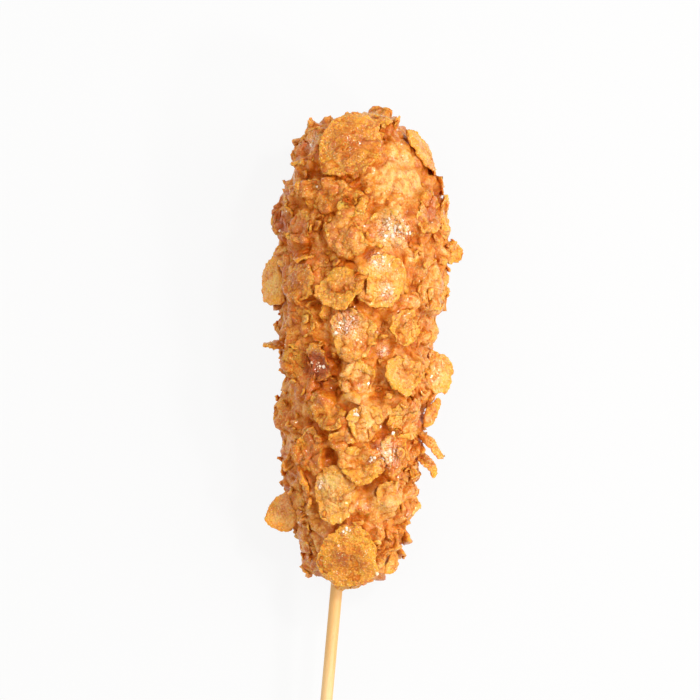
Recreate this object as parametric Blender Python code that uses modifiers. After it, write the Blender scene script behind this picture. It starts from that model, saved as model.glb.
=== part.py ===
"""A corn dog in a corn flake crust, on a round wooden stick, lying on its side.

The food frame has its origin at the foot of the food, where the stick goes in: X runs across,
Y along the food to its head, and Z out of the side that lies uppermost. The empty
"resting_pose" then tips that frame, so that the tapered food lies on the table at z = 0.
"""

import math
import random

import bmesh
import bpy
import numpy as np
from mathutils import Matrix, Vector, noise

MM = 0.001

# ---- Driving sizes, in millimetres ----
FOOD_LENGTH = 158.0
# (along, radius) of the batter from foot to head; a smooth curve goes through these points.
BATTER_OUTLINE = (
    (0.0, 0.0),
    (1.0, 5.6),
    (6.0, 11.0),
    (18.0, 16.2),
    (34.0, 20.4),
    (66.0, 22.8),
    (94.0, 25.2),
    (116.0, 26.2),
    (136.0, 23.6),
    (149.0, 18.0),
    (156.0, 9.8),
    (FOOD_LENGTH, 0.0),
)
OUTLINE_STEPS = 3  # points on each span of that curve
TURNS = 36  # facets round the batter
LUMPS = ((13.0, 1.5), (6.0, 0.6))  # (size, height) of the lumps in the batter

STICK_DIAMETER = 4.2
STICK_LENGTH = 235.0
STICK_SHOWN = 95.0  # the length of the handle outside the food
STICK_SIDEWAYS = -3.7  # where the stick enters the foot, off the food's axis
STICK_SLANT = 3.2  # degrees between the stick and the food's axis
STICK_CHAMFER = 0.4

FLAKE_THICKNESS = 1.5
FLAKE_CORNERS = 12  # points round a flake's rim
FLAKE_WAVINESS = 0.13  # how far the rim strays from an oval
FLAKE_CUP = 0.16  # how deep a standing flake is cupped, as a share of its width
FLAKE_CURL = 0.6  # how far the rim of a flake that lies on the batter rises all round
GAP = 0.3  # clearance between touching pieces
FLAKE_CLEAR = 0.55  # from the batter to the underside of a flake that lies on it

LEAN = 4.0  # degrees that the food tips, so that its narrow foot comes down to the table
AXIS_HEIGHT = 17.0  # of the food's axis over the table, at the foot
TABLE_DEPTH = 60.0
TABLE_SIZE = 600.0

# Flakes that lie along the batter, on the upper side: degrees round the food from the top
# towards +X, along, length, width, turn of the length from the food's axis (degrees, anticlockwise),
# how far one edge is raised, and the direction of that edge (degrees, anticlockwise from +Y).
LYING_FLAKES = (
    (-13, 100, 15.5, 15.5, -40, 2.4, 170),
    (16, 103, 18.5, 17.5, 20, 1.0, 60),
    (-15, 32, 20.5, 14.5, 20, 1.8, 140),
    (7, 42, 14.0, 13.5, 70, 4.0, 185),
    (-28, 132, 13.0, 19.0, 0, 1.4, 30),
    (-6, 128, 10.5, 10.5, 10, 2.2, 150),
    (16, 120, 13.5, 12.5, 15, 1.2, 270),
    (-62, 147, 15.0, 14.0, 20, 2.4, 60),
    (81, 146, 22.0, 13.0, 42, 2.8, 330),
    (55, 126, 15.5, 13.0, -8, 1.6, 90),
    (-73, 124, 17.0, 12.0, 5, 2.0, 90),
    (-47, 120, 9.5, 13.0, -10, 2.4, 185),
    (-10, 117, 12.0, 16.0, -15, 1.6, 200),
    (-46, 102, 14.5, 14.0, 10, 1.8, 160),
    (63, 102, 17.0, 14.0, -12, 1.6, 200),
    (-2, 85, 17.0, 16.0, 30, 1.8, 180),
    (40, 88, 11.5, 17.0, -8, 1.6, 20),
    (-48, 88, 14.5, 14.0, 0, 1.2, 180),
    (41, 72, 14.0, 15.0, 10, 1.8, 150),
    (-48, 72, 18.5, 11.5, 8, 1.6, 90),
    (-29, 75, 13.0, 9.5, 12, 1.0, 0),
    (2, 70, 14.5, 12.0, -30, 1.6, 120),
    (9, 57, 15.5, 11.0, -4, 1.8, 70),
    (45, 57, 13.5, 13.0, 0, 1.8, 10),
    (-22, 59, 12.0, 14.5, -20, 1.6, 190),
    (-6, 52, 11.0, 12.0, 30, 2.0, 60),
    (37, 46, 14.0, 9.5, 6, 1.4, 90),
    (-37, 46, 15.0, 11.5, -6, 1.6, 90),
    (39, 32, 11.5, 11.0, 10, 1.6, 20),
)

# Flakes that stand out of the batter, held by the edge that is sunk in it:
# across, along, height over the food's axis, length, width, turn,
# the way the face looks (degrees from up towards +X), and how far it looks along the food (degrees).
STANDING_FLAKES = (
    (-4.2, 148.5, 20.4, 24.0, 23.0, 15, -6, 27),
    (-0.4, 10.4, 15.4, 24.0, 21.5, 10, -4, -24),
    (-27.8, 102.5, 6.0, 19.0, 14.0, -6, -42, 4),
    (27.4, 73.5, 3.0, 15.5, 13.5, 18, 18, 8),
    (-22.6, 24.5, 2.0, 14.5, 11.0, -24, -14, 6),
    (28.4, 126.0, 5.0, 15.0, 11.0, -2, 74, 0),
    (29.8, 114.0, 3.0, 10.0, 12.0, -18, 34, 10),
    (27.2, 101.0, 5.0, 17.0, 11.0, -6, 52, -6),
    (3.0, 157.2, 9.8, 11.0, 14.0, 10, 8, 58),
    (-18.6, 112.0, 17.6, 11.0, 13.0, 10, -50, 62),
    (-26.6, 81.3, 3.0, 9.0, 12.0, 0, -20, 78),
    (-22.4, 57.0, 5.0, 10.5, 11.5, 20, -24, 8),
    (26.2, 60.0, 7.0, 12.5, 5.0, -24, 22, 24),
    (24.6, 51.1, 7.0, 4.8, 20.0, -54, 22, 24),
    (23.9, 44.6, 1.5, 5.4, 18.0, -55, 30, 10),
    (-21.0, 45.0, 4.5, 14.5, 10.0, 4, -62, 0),
    (19.0, 30.0, 4.0, 8.5, 14.0, -38, 28, 12),
    (13.6, 11.0, 4.0, 16.0, 8.5, 16, 30, -14),
)

# Flakes on the side that lies underneath, in two rows beside the flat that it rests on
UNDER_FLAKES = 11
UNDER_FIRST, UNDER_LAST = 20.0, 140.0
UNDER_CLOCK = 122.0  # degrees round from the top
UNDER_LENGTH, UNDER_WIDTH = 17.0, 14.0
UNDER_RAISED = 1.5

COLOURS = {  # name: (base colour, roughness)
    "batter": ((0.62, 0.24, 0.05), 0.5),
    "flake": ((0.72, 0.32, 0.06), 0.55),
    "wood": ((0.80, 0.58, 0.30), 0.65),
}


# ---- Scene, materials and helpers ----
def clear_scene():
    for obj in list(bpy.data.objects):
        bpy.data.objects.remove(obj, do_unlink=True)


def new_collection(name):
    collection = bpy.data.collections.new(name)
    bpy.context.scene.collection.children.link(collection)
    return collection


def plain_material(name):
    colour, roughness = COLOURS[name]
    material = bpy.data.materials.new(name)
    material.use_nodes = True
    shader = material.node_tree.nodes["Principled BSDF"]
    shader.inputs["Base Color"].default_value = (*colour, 1.0)
    shader.inputs["Roughness"].default_value = roughness
    return material


def object_from_bmesh(name, bm, collection, material=None):
    mesh = bpy.data.meshes.new(name)
    bm.to_mesh(mesh)
    bm.free()
    obj = bpy.data.objects.new(name, mesh)
    collection.objects.link(obj)
    if material:
        mesh.materials.append(material)
    return obj


def cut(obj, cutter):
    """Takes the cutter's shape out of obj."""
    modifier = obj.modifiers.new("cut_" + cutter.name, "BOOLEAN")
    modifier.operation = "DIFFERENCE"
    modifier.solver = "EXACT"
    modifier.object = cutter


def evaluated_mesh(obj):
    graph = bpy.context.evaluated_depsgraph_get()
    return bpy.data.meshes.new_from_object(obj.evaluated_get(graph))


def keep_largest_body(mesh):
    """Drops what a cut has split off a mesh, and leaves its largest closed body."""
    bm = bmesh.new()
    bm.from_mesh(mesh)
    bodies = []
    waiting = set(bm.faces)
    while waiting:
        body = [waiting.pop()]
        for face in body:
            linked = {other for edge in face.edges for other in edge.link_faces} & waiting
            waiting -= linked
            body.extend(linked)
        bodies.append(body)
    bodies.sort(key=lambda faces: sum(face.calc_area() for face in faces))
    for faces in bodies[:-1]:
        bmesh.ops.delete(bm, geom=faces, context="FACES")
    bm.to_mesh(mesh)
    bm.free()


# ---- Batter ----
def smooth_outline():
    """BATTER_OUTLINE as a Catmull-Rom curve, with OUTLINE_STEPS points on each span."""
    points = np.array(BATTER_OUTLINE)
    mirrored = points * [1, -1]
    ends = np.vstack([mirrored[1], points, mirrored[-2]])
    curve = []
    for p0, p1, p2, p3 in zip(ends, ends[1:], ends[2:], ends[3:]):
        for step in range(OUTLINE_STEPS):
            t = step / OUTLINE_STEPS
            bend = (2 * p0 - 5 * p1 + 4 * p2 - p3) * t + (3 * p1 - p0 - 3 * p2 + p3) * t * t
            curve.append(p1 + 0.5 * t * ((p2 - p0) + bend))
    return np.array(curve + [points[-1]])


OUTLINE = smooth_outline()


def batter_radius(along):
    return float(np.interp(along, OUTLINE[:, 0], OUTLINE[:, 1]))


def lump_height(clock, along):
    """How far the batter stands out at that angle round the food, from lumps of two sizes."""
    place = Vector((batter_radius(along) * math.sin(clock), along, batter_radius(along) * math.cos(clock)))
    return sum(height * noise.noise(place / size) for size, height in LUMPS)


def on_batter(clock, along, clear=0.0):
    """The point that stands clear of the batter's surface there, in millimetres."""
    radius = batter_radius(along) + lump_height(clock, along) + clear
    return Vector((radius * math.sin(clock), along, radius * math.cos(clock)))


def batter_object(name, collection, material=None, grown=0.0):
    """The battered body: its outline turned round the food's axis, then pushed out in lumps."""
    bm = bmesh.new()
    rim = [bm.verts.new((radius * MM, along * MM, 0)) for along, radius in OUTLINE[::-1]]
    for above, below in zip(rim, rim[1:]):
        bm.edges.new((above, below))
    profile = object_from_bmesh(name + "_profile", bm, collection)
    turned = profile.modifiers.new("turn", "SCREW")
    turned.axis = "Y"
    turned.steps = turned.render_steps = TURNS
    turned.use_merge_vertices = True
    turned.merge_threshold = 0.00001
    mesh = evaluated_mesh(profile)
    bpy.data.objects.remove(profile)
    bm = bmesh.new()
    bm.from_mesh(mesh)
    bmesh.ops.remove_doubles(bm, verts=bm.verts, dist=0.00001)
    for vertex in bm.verts:
        along = vertex.co.y / MM
        out = Vector((vertex.co.x, 0, vertex.co.z))
        if out.length > GAP * MM:
            clock = math.atan2(out.x, out.z)
            vertex.co = on_batter(clock, along, grown) * MM
        else:
            vertex.co.y += math.copysign(grown * MM, along - FOOD_LENGTH / 2)
    bmesh.ops.recalc_face_normals(bm, faces=bm.faces)
    return object_from_bmesh(name, bm, collection, material)


# ---- Stick ----
def stick_object(name, collection, material=None, grown=0.0):
    """The round stick, with a chamfer at each end. Its handle's end is grown no further than its side."""
    bpy.ops.mesh.primitive_cylinder_add(
        vertices=24, radius=(STICK_DIAMETER / 2 + grown) * MM, depth=(STICK_LENGTH + 2 * grown) * MM
    )
    stick = bpy.context.active_object
    stick.name = stick.data.name = name
    for other in stick.users_collection:
        other.objects.unlink(stick)
    collection.objects.link(stick)
    slant = Matrix.Rotation(math.radians(-STICK_SLANT), 4, "Z")
    middle = slant @ Vector((0, (STICK_LENGTH / 2 - STICK_SHOWN) * MM, 0))
    entry = Vector((STICK_SIDEWAYS * MM, 0, 0))
    stick.matrix_world = Matrix.Translation(entry + middle) @ slant @ Matrix.Rotation(-math.pi / 2, 4, "X")
    chamfer = stick.modifiers.new("chamfer", "BEVEL")
    chamfer.width = STICK_CHAMFER * MM
    chamfer.limit_method = "ANGLE"
    if material:
        stick.data.materials.append(material)
    return stick


# ---- Flakes ----
def flake_sheet(length, width, seed):
    """An uneven oval sheet with its length along Y, as a bmesh in millimetres."""
    draw = random.Random(seed)
    ripples = [(count, FLAKE_WAVINESS * draw.uniform(0.3, 1) / (count - 1), draw.uniform(0, 2 * math.pi))
               for count in (2, 3, 4)]
    bm = bmesh.new()
    bmesh.ops.create_circle(bm, cap_ends=True, cap_tris=True, segments=FLAKE_CORNERS, radius=1.0)
    spokes = [edge for edge in bm.edges if not edge.is_boundary]
    bmesh.ops.subdivide_edges(bm, edges=spokes, cuts=1)
    for vertex in bm.verts:
        angle = math.atan2(vertex.co.y, vertex.co.x)
        stray = 1 + sum(size * math.cos(count * angle + phase) for count, size, phase in ripples)
        vertex.co = (vertex.co.x * stray * width / 2, vertex.co.y * stray * length / 2, 0)
    return bm


def give_thickness(sheet, clearance):
    """Makes the sheet a plate: the flake itself, or the wider space that its neighbours leave it."""
    plate = sheet.modifiers.new("thickness", "SOLIDIFY")
    plate.thickness = (FLAKE_THICKNESS + 2 * clearance) * MM
    plate.offset = 0
    plate.use_even_offset = True


def lying_flake(name, collection, seed, clearance, clock, along, length, width, turn, raised, toward):
    """A flake draped over the batter, with its rim curled up and one edge raised."""
    bm = flake_sheet(length + 2 * clearance, width + 2 * clearance, seed)
    spin = Matrix.Rotation(math.radians(turn), 3, "Z")
    reach = Vector((-math.sin(math.radians(toward)), math.cos(math.radians(toward))))
    for vertex in bm.verts:
        rim = (2 * vertex.co.x / width) ** 2 + (2 * vertex.co.y / length) ** 2
        flat = (spin @ vertex.co).to_2d()
        share = max(0.0, 2 * flat.dot(reach) / (length + width) + 0.5)
        clear = FLAKE_CLEAR + FLAKE_THICKNESS / 2 + FLAKE_CURL * rim + raised * share**2
        place = min(max(along + flat.y, FLAKE_CLEAR), FOOD_LENGTH - FLAKE_CLEAR)
        vertex.co = on_batter(math.radians(clock) + flat.x / batter_radius(along), place, clear) * MM
    sheet = object_from_bmesh(name, bm, collection)
    give_thickness(sheet, clearance)
    return sheet


def standing_flake(
    name, collection, seed, clearance, across, along, height, length, width, turn, face, pitch
):
    """A cupped flake that stands out of the batter."""
    bm = flake_sheet(length + 2 * clearance, width + 2 * clearance, seed)
    for vertex in bm.verts:
        rim = (2 * vertex.co.x / width) ** 2 + 0.5 * (2 * vertex.co.y / length) ** 2
        vertex.co.z = -FLAKE_CUP * width * rim / 2
        vertex.co *= MM
    sheet = object_from_bmesh(name, bm, collection)
    sheet.matrix_world = (
        Matrix.Translation(Vector((across, along, height)) * MM)
        @ Matrix.Rotation(math.radians(face), 4, "Y")
        @ Matrix.Rotation(math.radians(-pitch), 4, "X")
        @ Matrix.Rotation(math.radians(turn), 4, "Z")
    )
    give_thickness(sheet, clearance)
    return sheet


def under_flakes():
    """Rows like those of LYING_FLAKES, which alternate from side to side of the food."""
    draw = random.Random(UNDER_FLAKES)
    rows = []
    for count in range(UNDER_FLAKES):
        along = UNDER_FIRST + (UNDER_LAST - UNDER_FIRST) * count / (UNDER_FLAKES - 1)
        clock = (UNDER_CLOCK + draw.uniform(-12, 12)) * (-1) ** count
        size = draw.uniform(0.85, 1.1)
        turn = draw.uniform(-40, 40)
        toward = draw.uniform(0, 360)
        rows.append((clock, along, size * UNDER_LENGTH, size * UNDER_WIDTH, turn, UNDER_RAISED, toward))
    return rows


def flake_shapes():
    """The function that makes each flake, with its row of sizes. Earlier flakes cut later ones."""
    shapes = [(standing_flake, row) for row in STANDING_FLAKES]
    shapes += [(lying_flake, row) for row in LYING_FLAKES]
    shapes += [(lying_flake, row) for row in under_flakes()]
    return shapes


def boxes_meet(first, second):
    """Whether the boxes round two objects overlap, in the food frame."""
    spans = []
    for obj in (first, second):
        corners = np.array([obj.matrix_world @ Vector(corner) for corner in obj.bound_box])
        spans.append((corners.min(0), corners.max(0)))
    (low_a, high_a), (low_b, high_b) = spans
    return bool(np.all(low_a < high_b) and np.all(low_b < high_a))


def build_flakes(collection, cutters, skin, table, material):
    """Each flake, cut back to clear the batter, the table and the flakes made before it."""
    spaces, flakes = [], []
    for seed, (make_flake, row) in enumerate(flake_shapes()):
        flake = make_flake(f"flake_{seed + 1:02d}", collection, seed, 0.0, *row)
        space = make_flake(f"space_{seed + 1:02d}", cutters, seed, GAP, *row)
        bpy.context.view_layer.update()
        cut(flake, skin)
        cut(flake, table)
        for other in spaces:
            if boxes_meet(space, other):
                cut(flake, other)
        mesh = evaluated_mesh(flake)
        keep_largest_body(mesh)
        flake.modifiers.clear()
        flake.data = mesh
        mesh.materials.clear()
        mesh.materials.append(material)
        spaces.append(space)
        flakes.append(flake)
    for space in spaces:
        bpy.data.objects.remove(space)
    return flakes


# ---- Assembly ----
def resting_matrix():
    return Matrix.Translation((0, 0, AXIS_HEIGHT * MM)) @ Matrix.Rotation(math.radians(LEAN), 4, "X")


def table_cutter(collection):
    """The space under the table's top, turned into the food frame."""
    bm = bmesh.new()
    bmesh.ops.create_cube(bm, size=1.0)
    bmesh.ops.scale(bm, verts=bm.verts, vec=(TABLE_SIZE * MM, TABLE_SIZE * MM, TABLE_DEPTH * MM))
    bmesh.ops.translate(bm, verts=bm.verts, vec=(0, 0, -TABLE_DEPTH * MM / 2))
    table = object_from_bmesh("table", bm, collection)
    table.matrix_world = resting_matrix().inverted()
    return table


def stand_over_origin(parts, pose):
    """Moves the resting pose sideways, so that the middle of the whole corn dog is over the origin."""
    bpy.context.view_layer.update()
    corners = np.array([part.matrix_world @ vertex.co for part in parts for vertex in part.data.vertices])
    middle = (corners.min(0) + corners.max(0)) / 2
    pose.location.x -= middle[0]
    pose.location.y -= middle[1]


def main():
    clear_scene()
    parts = new_collection("corn_dog")
    cutters = new_collection("cutters")
    batter_material, flake_material, wood = (plain_material(name) for name in COLOURS)
    table = table_cutter(cutters)
    skin = batter_object("skin", cutters, grown=GAP)
    bore = stick_object("bore", cutters, grown=GAP)
    batter = batter_object("batter", parts, batter_material)
    stick = stick_object("stick", parts, wood)
    flakes = build_flakes(parts, cutters, skin, table, flake_material)
    cut(batter, bore)
    cut(batter, table)
    batter.data.materials.clear()
    batter.data.materials.append(batter_material)
    bpy.data.objects.remove(skin)
    pose = bpy.data.objects.new("resting_pose", None)
    parts.objects.link(pose)
    for part in (batter, stick, table, bore, *flakes):
        part.parent = pose
    pose.matrix_world = resting_matrix()
    for cutter in (table, bore):
        cutter.hide_render = True
        cutter.display_type = "WIRE"
    stand_over_origin((batter, stick, *flakes), pose)


main()
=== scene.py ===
# %% [markdown]
# # A fried corn dog in corn flakes
# This is a sausage on a stick, dipped in a thick yeast batter, rolled in corn flakes and fried.
# The measured model gives us the batter as one smooth body, 58 flakes as flat plates and the
# stick. Here we fry them: the batter gets its skin, the flakes get their curls and blisters,
# and crumbs and sugar fall into the gaps. We start by loading the measured model, and we
# keep its box, because nothing that we add may make the food bigger.

# %% Load the measured model
import math
import random
import bmesh
import bpy
import numpy as np
from mathutils import Matrix, Quaternion, Vector
from mathutils.bvhtree import BVHTree
from mathutils.noise import noise as noise_at, noise_vector, seed_set


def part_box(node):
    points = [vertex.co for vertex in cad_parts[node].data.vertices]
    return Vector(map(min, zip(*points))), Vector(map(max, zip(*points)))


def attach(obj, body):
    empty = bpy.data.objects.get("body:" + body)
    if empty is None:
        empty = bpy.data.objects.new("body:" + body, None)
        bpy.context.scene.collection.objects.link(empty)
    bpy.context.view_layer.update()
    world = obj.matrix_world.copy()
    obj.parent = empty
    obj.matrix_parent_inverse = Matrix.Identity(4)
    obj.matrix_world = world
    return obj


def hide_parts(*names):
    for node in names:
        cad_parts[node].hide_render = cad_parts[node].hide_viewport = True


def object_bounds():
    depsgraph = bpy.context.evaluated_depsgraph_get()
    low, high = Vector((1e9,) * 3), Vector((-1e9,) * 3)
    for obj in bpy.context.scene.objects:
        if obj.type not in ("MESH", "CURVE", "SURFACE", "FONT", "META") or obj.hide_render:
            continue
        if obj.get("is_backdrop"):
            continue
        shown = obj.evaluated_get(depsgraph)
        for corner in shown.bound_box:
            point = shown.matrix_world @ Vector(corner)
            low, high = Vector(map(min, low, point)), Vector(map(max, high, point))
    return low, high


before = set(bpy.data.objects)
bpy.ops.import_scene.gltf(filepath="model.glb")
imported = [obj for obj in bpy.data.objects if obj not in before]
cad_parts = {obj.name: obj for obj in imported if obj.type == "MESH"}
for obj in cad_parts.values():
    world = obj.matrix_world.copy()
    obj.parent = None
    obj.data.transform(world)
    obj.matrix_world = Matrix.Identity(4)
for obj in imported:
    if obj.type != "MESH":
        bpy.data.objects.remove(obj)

CAD_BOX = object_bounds()
MM = 0.001
FLAKES = sorted(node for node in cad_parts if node.startswith("flake"))
print("box in mm", [[round(value / MM, 1) for value in corner] for corner in CAD_BOX])
print(len(FLAKES), "flakes to fry")

# %% [markdown]
# ## Where things are on the food
# The food tapers towards its foot, so lying on a table it leans by a few degrees. It is much
# easier to place crumbs by "so far along, so far round", so we set up the food's own frame:
# its origin where the stick goes in, Y along the food, Z straight out of the side on show.

# %% The food's own frame
LEAN = math.radians(4.0)
batter_low, batter_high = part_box("batter")
AXIS_HEIGHT = 17.0 * MM
FOOT = Vector((-0.8 * MM, batter_low.y + 0.1 * MM, AXIS_HEIGHT))
FOOD = Matrix.Translation(FOOT) @ Matrix.Rotation(LEAN, 4, "X")
FOOD_LENGTH = (batter_high.y - batter_low.y) / math.cos(LEAN)


def on_food(clock, along, out):
    """A point so many degrees round from the top, so far along, and so far out from the axis."""
    angle = math.radians(clock)
    return FOOD @ Vector((out * math.sin(angle), along, out * math.cos(angle)))


def outward(clock):
    """The direction straight out of the food, so many degrees round from the top."""
    return (on_food(clock, 0, 1) - on_food(clock, 0, 0)).normalized()


print("food is", round(FOOD_LENGTH / MM, 1), "mm long")

# %% [markdown]
# ## The camera
# We look straight at the side on show, square to the food's axis, from far enough away that
# the food keeps its true proportions. The camera is rolled by two degrees, so the food's
# head leans to the right as if someone held it up by its stick.

# %% Camera square to the food
VIEW_DISTANCE = 2.2
VIEW_WIDTH = 0.2352
ROLL = math.radians(2.0)
SENSOR = 36.0
target = FOOD @ Vector((-0.002, 0.0798, 0))
camera_data = bpy.data.cameras.new("camera")
camera_data.sensor_width = SENSOR
camera_data.lens = SENSOR * VIEW_DISTANCE / VIEW_WIDTH
camera = bpy.data.objects.new("camera", camera_data)
bpy.context.scene.collection.objects.link(camera)
bpy.context.scene.camera = camera
look = FOOD.to_3x3().to_4x4() @ Matrix.Rotation(ROLL, 4, "Z")
camera.matrix_world = Matrix.Translation(target + look.to_3x3() @ Vector((0, 0, VIEW_DISTANCE))) @ look
camera_data.clip_end = 10
print("lens", round(camera_data.lens), "mm at", VIEW_DISTANCE, "m")

# %% [markdown]
# ## Tools for soft, uneven shapes
# Fried food has no straight lines. The recipe is the same each time: copy a solid from the
# measured model, wrap it in a fine even skin with a voxel remesh, smooth its facets away, and
# push that skin about with cloud textures. We then turn the result into plain mesh.

# %% Helpers for pieces
MERGE = 0.01 * MM


def merged_copy(node):
    """A bmesh of a measured solid, with its loose triangles joined up."""
    bm = bmesh.new()
    bm.from_mesh(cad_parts[node].data)
    bmesh.ops.remove_doubles(bm, verts=bm.verts, dist=MERGE)
    return bm


def piece_from(bm, name):
    """Puts a bmesh into the scene as a smooth-shaded piece."""
    mesh = bpy.data.meshes.new(name)
    bm.to_mesh(mesh)
    bm.free()
    piece = bpy.data.objects.new(name, mesh)
    bpy.context.scene.collection.objects.link(piece)
    mesh.shade_smooth()
    return piece


def set_in_mesh(piece):
    """Works the modifiers into the piece's mesh and takes them off."""
    graph = bpy.context.evaluated_depsgraph_get()
    mesh = bpy.data.meshes.new_from_object(piece.evaluated_get(graph))
    old = piece.data
    piece.modifiers.clear()
    piece.data = mesh
    bpy.data.meshes.remove(old)
    mesh.name = piece.name
    mesh.shade_smooth()


def wrap(piece, voxel, smoothing):
    """A fine even skin over the piece, with its facets smoothed away."""
    remesh = piece.modifiers.new("skin", "REMESH")
    remesh.mode = "VOXEL"
    remesh.voxel_size = voxel
    smooth = piece.modifiers.new("smooth", "SMOOTH")
    smooth.factor = 0.5
    smooth.iterations = smoothing


def clouds(name, size, depth=2, colour=False):
    """A soft three-dimensional noise, with lumps of the given size."""
    texture = bpy.data.textures.new(name, "CLOUDS")
    texture.noise_scale = size
    texture.noise_depth = depth
    texture.cloud_type = "COLOR" if colour else "GRAYSCALE"
    return texture


def blisters(name, size):
    """Round bubbles of the given size, for a Displace modifier."""
    texture = bpy.data.textures.new(name, "VORONOI")
    texture.noise_scale = size
    texture.noise_intensity = 1.2
    return texture


def push(piece, texture, strength, vector=False):
    """Moves the skin in and out, or sideways too, by a texture in the piece's own space."""
    displace = piece.modifiers.new(texture.name, "DISPLACE")
    displace.texture = texture
    displace.texture_coords = "LOCAL"
    displace.direction = "RGB_TO_XYZ" if vector else "NORMAL"
    displace.strength = strength


print("tools for shapes ready")

# %% [markdown]
# ## Tools that read a mesh
# Many steps ask "how far is it from here to there" for thousands of points at once. So we
# read a mesh as arrays of numbers, blur a value from point to point along the edges, and
# store the results on the mesh, where the materials find them.

# %% Helpers for points
def points(piece):
    """The piece's vertices as an array."""
    co = np.empty(len(piece.data.vertices) * 3, np.float32)
    piece.data.vertices.foreach_get("co", co)
    return co.reshape(-1, 3)


def normals(piece):
    """The piece's vertex normals as an array."""
    out = np.empty(len(piece.data.vertices) * 3, np.float32)
    piece.data.vertex_normals.foreach_get("vector", out)
    return out.reshape(-1, 3)


def spread_over_edges(piece, values, rounds, largest=False):
    """Blurs a value over neighbouring vertices, or spreads its largest value."""
    ends = np.empty(len(piece.data.edges) * 2, np.int32)
    piece.data.edges.foreach_get("vertices", ends)
    first, second = ends.reshape(-1, 2).T
    for _ in range(rounds):
        if largest:
            wider = values.copy()
            np.maximum.at(wider, first, values[second])
            np.maximum.at(wider, second, values[first])
            values = wider
        else:
            total = np.bincount(first, values[second], len(values))
            total += np.bincount(second, values[first], len(values))
            count = np.bincount(ends, minlength=len(values))
            values = 0.5 * values + 0.5 * total / np.maximum(count, 1)
    return values


def tree_of(pieces):
    """A search tree over several pieces, for rays."""
    co, faces, start = [], [], 0
    for piece in pieces:
        co.append(points(piece))
        faces += [tuple(start + index for index in face.vertices) for face in piece.data.polygons]
        start += len(co[-1])
    return BVHTree.FromPolygons([Vector(p) for p in np.vstack(co)], faces)


def store(piece, name, values):
    """Keeps one number per vertex, for the materials to read."""
    attribute = piece.data.attributes.new(name, "FLOAT", "POINT")
    attribute.data.foreach_set("value", np.asarray(values, np.float32))


print("tools for points ready")

# %% [markdown]
# ## The corn flakes
# A corn flake is a kernel rolled flat and toasted until it blisters and curls, so its rim is
# ragged and no part of it is flat. We start from each measured plate, wrap it in a fine skin,
# thin it, and move that skin sideways as well as up and down. Large clouds curl the flake,
# small ones fray its rim, and a bubble texture raises the blisters.

# %% Tools to fry a flake
FLAKE_VOXEL = 0.42 * MM
THINNER = -0.4 * MM
SECTORS = 24
RIM_STARTS = 0.6
GRIT = 0.4 * MM
curls = clouds("flake curls", 7.5 * MM, 1, colour=True)
frays = clouds("flake frays", 2.2 * MM, 2, colour=True)
bubbles = blisters("flake blisters", 1.1 * MM)
grit = clouds("flake grit", 0.5 * MM, 1)


def fry(piece, rim, curl=4.6 * MM, fray=2.2 * MM, blister=0.45 * MM):
    """Curls a thin piece, frays its rim and raises its blisters."""
    group = piece.vertex_groups.new(name="ragged")
    for index, share in enumerate(np.clip((rim - RIM_STARTS) / (1 - RIM_STARTS), 0, 1)):
        group.add([index], 0.3 + 0.7 * share, "REPLACE")
    push(piece, curls, curl, vector=True)
    push(piece, frays, fray, vector=True)
    piece.modifiers[-1].vertex_group = group.name
    push(piece, bubbles, blister)
    push(piece, grit, GRIT)
    set_in_mesh(piece)
    piece.vertex_groups.clear()


def rim_share(piece):
    """How near each vertex is to the flake's rim: 0 in the middle, 1 on the rim."""
    co = points(piece)
    co = co - co.mean(0)
    axes = np.linalg.svd(co, full_matrices=False)[2]
    flat = co @ axes[:2].T
    turns = np.arctan2(flat[:, 1], flat[:, 0]) / (2 * math.pi) + 0.5
    sector = (turns * SECTORS).astype(int) % SECTORS
    radius = np.hypot(flat[:, 0], flat[:, 1])
    reach = np.array([radius[sector == index].max(initial=1e-6) for index in range(SECTORS)])
    reach = (reach + np.roll(reach, 1) + np.roll(reach, -1)) / 3
    return np.clip(radius / reach[sector], 0, 1)


def keep_above_table(piece):
    """Flattens whatever hangs below the table's top."""
    co = points(piece)
    co[:, 2] = np.maximum(co[:, 2], 0)
    piece.data.vertices.foreach_set("co", co.ravel())
    piece.data.update()


print("tools to fry a flake ready")

# %% [markdown]
# ## No two flakes alike
# Flakes that stand out of the food, or lie flat on it, keep their outline, so they are moved
# about less. Some never got batter on them, which matters in a later step. Each flake also
# has a tone, because some are fried longer than others.

# %% Fry the measured flakes
# By the last two digits of their names: flakes without batter or crumbs on them,
# flakes that stand out of the food with air round them, and large flat ones.
CLEAN_FLAKES = ("01", "02", "03", "04", "05", "19", "20", "21", "24", "32", "35", "37")
FREE_FLAKES = ("03", "04", "05", "11", "13", "14", "15", "17", "18", "27")
SMOOTH_FLAKES = ("01", "02", "20")
FLAKE_TONES = (  # from 0, pale yellow, to 1, brown, for the flakes on the side that shows
    0.80, 0.70, 0.00, 0.00, 0.00, 0.30, 0.35, 0.30, 0.40, 0.80, 0.30, 0.35,
    0.50, 0.20, 0.35, 0.40, 0.10, 0.30, 0.40, 0.35, -0.1, 0.35, 0.75, 0.50,
    0.35, 0.75, 0.25, 0.90, 0.95, 0.50, 0.30, 0.80, 0.30, 0.30, 0.50, 0.70,
    0.25, 0.80, 1.10, -0.1, -0.2, 0.30, 0.70, 0.40, 0.85, 0.80, 0.05,
)
tones = random.Random(3)
corn_flakes, flake_tones = [], []
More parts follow.
